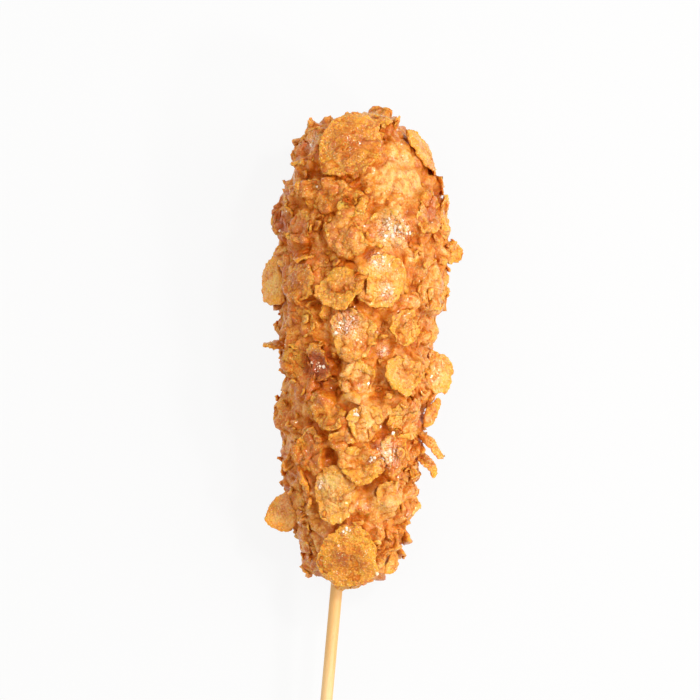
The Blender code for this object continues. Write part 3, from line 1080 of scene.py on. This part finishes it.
def fried_group():
    """Colour, roughness and height of fried crust."""
    group = bpy.data.node_groups.new("Fried crust", "ShaderNodeTree")
    for name, kind, start in (
        ("Tone", "NodeSocketFloat", 0.5),
        ("Rim", "NodeSocketFloat", 0.0),
        ("Painted_shade", "NodeSocketFloat", 0.0),
        ("Scorch", "NodeSocketFloat", 0.0),
        ("Frost", "NodeSocketFloat", 0.0),
        ("Pale", "NodeSocketColor", rgb(0.9, 0.45, 0.12)),
        ("Golden", "NodeSocketColor", rgb(0.8, 0.3, 0.05)),
        ("Brown", "NodeSocketColor", rgb(0.5, 0.15, 0.02)),
        ("Dark", "NodeSocketColor", rgb(0.25, 0.05, 0.01)),
        ("Amber", "NodeSocketColor", rgb(0.8, 0.36, 0.04)),
    ):
        socket = group.interface.new_socket(name, in_out="INPUT", socket_type=kind)
        socket.default_value = start
    group.interface.new_socket("Colour", in_out="OUTPUT", socket_type="NodeSocketColor")
    for name in ("Roughness", "Height", "Oil"):
        group.interface.new_socket(name, in_out="OUTPUT", socket_type="NodeSocketFloat")
    given = group.nodes.new("NodeGroupInput").outputs
    result = group.nodes.new("NodeGroupOutput")
    where = group.nodes.new("ShaderNodeTexCoord").outputs["Object"]
    patches = noise(group, where, 7 * MM, 2)
    mottle = noise(group, where, 2.0 * MM, 4)
    grains = noise(group, where, 0.6 * MM, 3)
    granules = cells(group, where, 0.85 * MM)
    granular = fade(group, noise(group, where, 5 * MM, 2), 0.42, 0.6, 0.1, 0.7)
    granular = maths(group, "MULTIPLY_ADD", given["Tone"], 0.45, granular, clamp=True)
    browned = -1.45
    for source, weight in ((patches, 2.2), (mottle, 2.2), (grains, -1.2)):
        browned = maths(group, "MULTIPLY_ADD", source, weight, browned)
    browned = maths(group, "MULTIPLY_ADD", given["Tone"], 0.6, browned)
    browned = maths(group, "MULTIPLY_ADD", given["Scorch"], 0.8, browned)
    ragged = maths(group, "MULTIPLY_ADD", mottle, 1.2, maths(group, "ADD", given["Rim"], -0.6))
    centre = maths(group, "MULTIPLY", fade(group, ragged, 0.2, 0.95, 0.45, -0.25), given["Tone"])
    browned = maths(group, "ADD", browned, centre)
    colour = mix_colours(group, fade(group, browned, -0.05, 0.45), given["Pale"], given["Golden"])
    colour = mix_colours(group, fade(group, browned, 0.4, 0.95), colour, given["Brown"])
    colour = mix_colours(group, fade(group, ragged, 0.3, 0.95, 0.0, 0.9), colour, given["Amber"])
    glow = fade(group, noise(group, where, 3.2 * MM, 2), 0.5, 0.6, 0.0, 0.45)
    colour = mix_colours(group, glow, colour, given["Amber"])
    # Pale on each granule and dark where granules meet; the bump raises and lowers the same places, so
    # this is partly the grain's own colour and partly painted highlight and painted shade.
    peaks_and_highlights = maths(group, "MULTIPLY", fade(group, granules, 0.1, 0.4, 0.6, 0.0), granular)
    colour = mix_colours(group, peaks_and_highlights, colour, given["Pale"])
    seams_and_shade = maths(group, "MULTIPLY", fade(group, granules, 0.4, 0.75, 0.0, 0.65), granular)
    colour = mix_colours(group, seams_and_shade, colour, given["Dark"])
    # Dark spots where the fine noise is low, which the bump also lowers: partly freckles and partly
    # painted shade.
    pits_and_shade = fade(group, grains, 0.3, 0.45, 0.4, 0.0)
    colour = mix_colours(group, pits_and_shade, colour, given["Dark"])
    # Painted shade: the colour goes towards Dark where the stored share of blocked rays is high.
    colour = mix_colours(group, fade(group, given["Painted_shade"], 0.15, 0.8, 0.0, 0.85), colour, given["Dark"])
    # Small pale spots, kept out of the painted shade: partly sugar and partly painted glints.
    specks_and_glints = fade(group, cells(group, where, 1.0 * MM), 0.1, 0.25, 0.8, 0.0)
    specks_and_glints = maths(group, "MULTIPLY", specks_and_glints, fade(group, given["Painted_shade"], 0.1, 0.4, 1.0, 0.0))
    colour = mix_colours(group, specks_and_glints, colour, SPECKS_AND_GLINTS)
    dust = fade(group, given["Frost"], 0.0, 0.9, 0.0, 0.65)
    dust = maths(group, "MULTIPLY", fade(group, grains, 0.42, 0.6), dust)
    colour = mix_colours(group, dust, colour, SUGAR_DUST)
    burnt = maths(group, "MULTIPLY_ADD", mottle, 1.2, maths(group, "ADD", given["Scorch"], -0.6))
    colour = mix_colours(group, fade(group, burnt, 0.2, 0.9, 0.0, 0.8), colour, BURNT)
    group.links.new(colour, result.inputs["Colour"])
    group.links.new(fade(group, mottle, 0.3, 0.7, 0.3, 0.5), result.inputs["Roughness"])
    height = maths(group, "MULTIPLY_ADD", mottle, 0.35, maths(group, "MULTIPLY", grains, 0.45))
    height = maths(group, "MULTIPLY_ADD", peaks_and_highlights, 0.9, height)
    group.links.new(height, result.inputs["Height"])
    oil = fade(group, patches, 0.35, 0.6, 0.2, 0.9)
    oil = maths(group, "MULTIPLY_ADD", given["Scorch"], 0.3, oil, clamp=True)
    oil = maths(group, "MULTIPLY", oil, fade(group, given["Painted_shade"], 0.2, 0.7, 1.0, 0.1))
    group.links.new(oil, result.inputs["Oil"])
    return group


FRIED = fried_group()
print("the fried finish has", len(FRIED.nodes), "nodes")

# %% [markdown]
# ## Fried batter and fried flake
# Both finishes use that group and differ in their colours and grain. Light goes a little way
# into the crust and comes out orange, so the shader scatters red the farthest. The oil is a
# clear coat, thick in some patches and thin in others.

# %% Fried batter and fried flake
def fried_material(name, colours, bump, glow):
    """A fried finish with its own colours."""
    material, tree, shader = new_material(
        name, Subsurface_Weight=glow, Subsurface_Radius=(1.0, 0.35, 0.08), Subsurface_Scale=2.2 * MM,
        Specular_Tint=rgb(1.0, 0.8, 0.5), Specular_IOR_Level=0.15, Coat_Roughness=0.08,
    )
    crust_node = tree.nodes.new("ShaderNodeGroup")
    crust_node.node_tree = FRIED
    for socket in ("Tone", "Rim", "Painted_shade", "Scorch", "Frost"):
        reader = tree.nodes.new("ShaderNodeAttribute")
        reader.attribute_name = socket.lower()
        tree.links.new(reader.outputs["Fac"], crust_node.inputs[socket])
    for socket, colour in colours.items():
        crust_node.inputs[socket].default_value = colour
    fried = crust_node.outputs
    relief = add_node(tree, "ShaderNodeBump", Height=fried["Height"], Strength=1.0, Distance=bump)
    tree.links.new(fried["Colour"], shader.inputs["Base Color"])
    tree.links.new(fried["Roughness"], shader.inputs["Roughness"])
    tree.links.new(fried["Oil"], shader.inputs["Coat Weight"])
    tree.links.new(relief.outputs["Normal"], shader.inputs["Normal"])
    return material


BATTER_COLOURS = {
    "Pale": rgb(0.78, 0.45, 0.145),
    "Golden": rgb(0.69, 0.295, 0.042),
    "Brown": rgb(0.53, 0.145, 0.008),
    "Dark": rgb(0.46, 0.078, 0.002),
    "Amber": rgb(0.76, 0.30, 0.018),
}
FLAKE_COLOURS = {
    "Pale": rgb(0.79, 0.45, 0.125),
    "Golden": rgb(0.68, 0.275, 0.033),
    "Brown": rgb(0.50, 0.14, 0.007),
    "Dark": rgb(0.40, 0.06, 0.002),
    "Amber": rgb(0.84, 0.365, 0.035),
}
batter_finish = fried_material("fried batter", BATTER_COLOURS, 0.6 * MM, 0.5)
flake_finish = fried_material("fried corn flake", FLAKE_COLOURS, 0.8 * MM, 0.55)
print("fried finishes:", batter_finish.name, "and", flake_finish.name)

# %% [markdown]
# ## Sugar and bamboo
# A grain of sugar is clear, but so small and full of flaws that it looks white and glints.
# Bamboo is pale straw with long darker fibres, so its noise is stretched along the stick.

# %% Sugar and bamboo finishes
DRY_SUGAR, DAMP_SUGAR = rgb(0.93, 0.76, 0.62), rgb(0.88, 0.58, 0.38)
STRAW, FIBRE = rgb(0.74, 0.52, 0.25), rgb(0.65, 0.38, 0.14)
# The colour after the pale band is painted shade and warm bounce light, for the stick near the food.
PALE_BAND, STICK_SHADE_AND_BOUNCE = rgb(0.77, 0.57, 0.30), rgb(0.64, 0.33, 0.085)


def sugar_material():
    """Milky grains that glint."""
    material, tree, shader = new_material(
        "sugar", Roughness=0.15, Subsurface_Weight=0.6, Subsurface_Radius=(1.0, 0.8, 0.6),
        Subsurface_Scale=0.8 * MM,
    )
    where = tree.nodes.new("ShaderNodeTexCoord").outputs["Object"]
    damp = noise(tree, where, 3 * MM, 1)
    colour = mix_colours(tree, fade(tree, damp, 0.4, 0.65), DRY_SUGAR, DAMP_SUGAR)
    tree.links.new(colour, shader.inputs["Base Color"])
    return material


def bamboo_material():
    """Pale straw with fibres along the stick."""
    material, tree, shader = new_material(
        "bamboo", Roughness=0.5, Subsurface_Weight=0.15, Subsurface_Radius=(1.0, 0.6, 0.3),
        Subsurface_Scale=0.6 * MM,
    )
    where = tree.nodes.new("ShaderNodeTexCoord").outputs["Object"]
    along = add_node(tree, "ShaderNodeMapping", Vector=where)
    along.inputs["Rotation"].default_value = direction.rotation_difference(Vector((0, 1, 0))).to_euler()
    stretched = add_node(tree, "ShaderNodeMapping", Vector=along.outputs[0])
    stretched.inputs["Scale"].default_value = (1, 0.03, 1)
    fibres = noise(tree, stretched.outputs[0], 0.35 * MM, 3)
    bands = noise(tree, stretched.outputs[0], 1.6 * MM, 2)
    colour = mix_colours(tree, fade(tree, fibres, 0.35, 0.7), STRAW, FIBRE)
    colour = mix_colours(tree, fade(tree, bands, 0.4, 0.7, 0, 0.5), colour, PALE_BAND)
    # Painted shade and warm bounce light: the stick turns darker and more orange towards the food.
    split = add_node(tree, "ShaderNodeSeparateXYZ", Vector=where)
    stick_shade_and_bounce = fade(tree, split.outputs["Y"], low.y + 40 * MM, FOOT.y, 0.0, 0.75)
    colour = mix_colours(tree, stick_shade_and_bounce, colour, STICK_SHADE_AND_BOUNCE)
    tree.links.new(colour, shader.inputs["Base Color"])
    relief = add_node(tree, "ShaderNodeBump", Height=fibres, Strength=0.4, Distance=0.1 * MM)
    tree.links.new(relief.outputs["Normal"], shader.inputs["Normal"])
    return material


sugar_finish, bamboo_finish = sugar_material(), bamboo_material()
print("dry finishes:", sugar_finish.name, "and", bamboo_finish.name)

# %% [markdown]
# ## Dress the pieces
# The batter next to a flake takes on some of the flake's tone, so the finish runs from one to
# the other. Then each piece gets its finish and its place on the one body. A piece made from
# a measured solid also hides that solid.

# %% Dress the pieces
BATTER_TONE = 0.3
TONE_REACH = 2.5 * MM


def dress(piece, material, slot, *nodes):
    """Gives a piece its finish and body, and hides the solids it stands for; slot is not used."""
    piece.data.materials.clear()
    piece.data.materials.append(material)
    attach(piece, "root")
    if nodes:
        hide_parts(*nodes)


tone_of = by_face(all_flakes, flake_tones)
crust_tone = []
for place in points(crust):
    _, _, face, far = flake_tree.find_nearest(Vector(place))
    near = min(1.0, max(0.0, (TONE_REACH - far) / TONE_REACH))
    crust_tone.append(BATTER_TONE + (tone_of[face] - BATTER_TONE) * near)
store(crust, "tone", spread_over_edges(crust, np.array(crust_tone), 3))
store(crust, "rim", np.zeros(len(crust.data.vertices)))
dress(crust, batter_finish, "batter", "batter")
for flake, node in corn_flakes:
    dress(flake, flake_finish, "flake", node)
dress(shards, flake_finish, "flake")
dress(chips, flake_finish, "flake")
dress(crumbs, flake_finish, "flake")
dress(sugar, sugar_finish, "flake")
dress(stick, bamboo_finish, "wood", "stick")
print("dressed", len(corn_flakes) + 6, "pieces")

# %% [markdown]
# ## Table and light
# A pale table, a large soft light from the right and one from above on the left show the
# relief without hard shadows, as in a picture for a menu. Two small weak lights add the
# glints on the oil and the sugar, which a large light would smear out.

# %% Table and lights
FLOOR_SIZE = 6.0
bm = bmesh.new()
bmesh.ops.create_grid(bm, x_segments=1, y_segments=1, size=FLOOR_SIZE / 2)
table = piece_from(bm, "table")
table.location.z = -0.02 * MM
table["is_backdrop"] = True
paint, _, _ = new_material(
    "pale table", Base_Color=rgb(0.06, 0.06, 0.06), Emission_Color=rgb(1, 1, 1),
    Emission_Strength=0.88, Roughness=0.9, Specular_IOR_Level=0.1,
)
table.data.materials.append(paint)


def soft_light(name, place, size, watts, colour=(1, 1, 1)):
    """A square light that faces the food, softer the larger it is."""
    data = bpy.data.lights.new(name, "AREA")
    data.size = size
    data.energy = watts
    data.color = colour
    light = bpy.data.objects.new(name, data)
    bpy.context.scene.collection.objects.link(light)
    light.location = place
    light.rotation_euler = (target - Vector(place)).to_track_quat("-Z", "Y").to_euler()


WARM = (1.0, 0.97, 0.93)
soft_light("key", (0.8, 0.25, 0.6), 0.6, 5.0, WARM)
soft_light("fill", (-0.5, 0.1, 1.1), 1.2, 4.8, WARM)
soft_light("glint", (0.5, 0.45, 1.0), 0.12, 4.6)
soft_light("low glint", (0.6, -0.3, 0.6), 0.1, 2.8)
world = bpy.data.worlds.new("room")
world.use_nodes = True
world.node_tree.nodes["Background"].inputs["Color"].default_value = rgb(1, 0.97, 0.92)
world.node_tree.nodes["Background"].inputs["Strength"].default_value = 0.69
bpy.context.scene.world = world
bpy.context.scene.view_settings.view_transform = "Standard"
print("lights on")

# %% [markdown]
# ## The size
# The box of the dressed food and the box of the measured one are printed side by side. The
# dressed food has to stay inside the box of the measured one.

# %% Write both boxes and finish
boxes = {
    "cad": [list(corner) for corner in CAD_BOX],
    "visual": [list(corner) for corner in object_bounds()],
}
for name, (low_corner, high_corner) in boxes.items():
    print(name, [round((b - a) / MM, 1) for a, b in zip(low_corner, high_corner)], "mm")
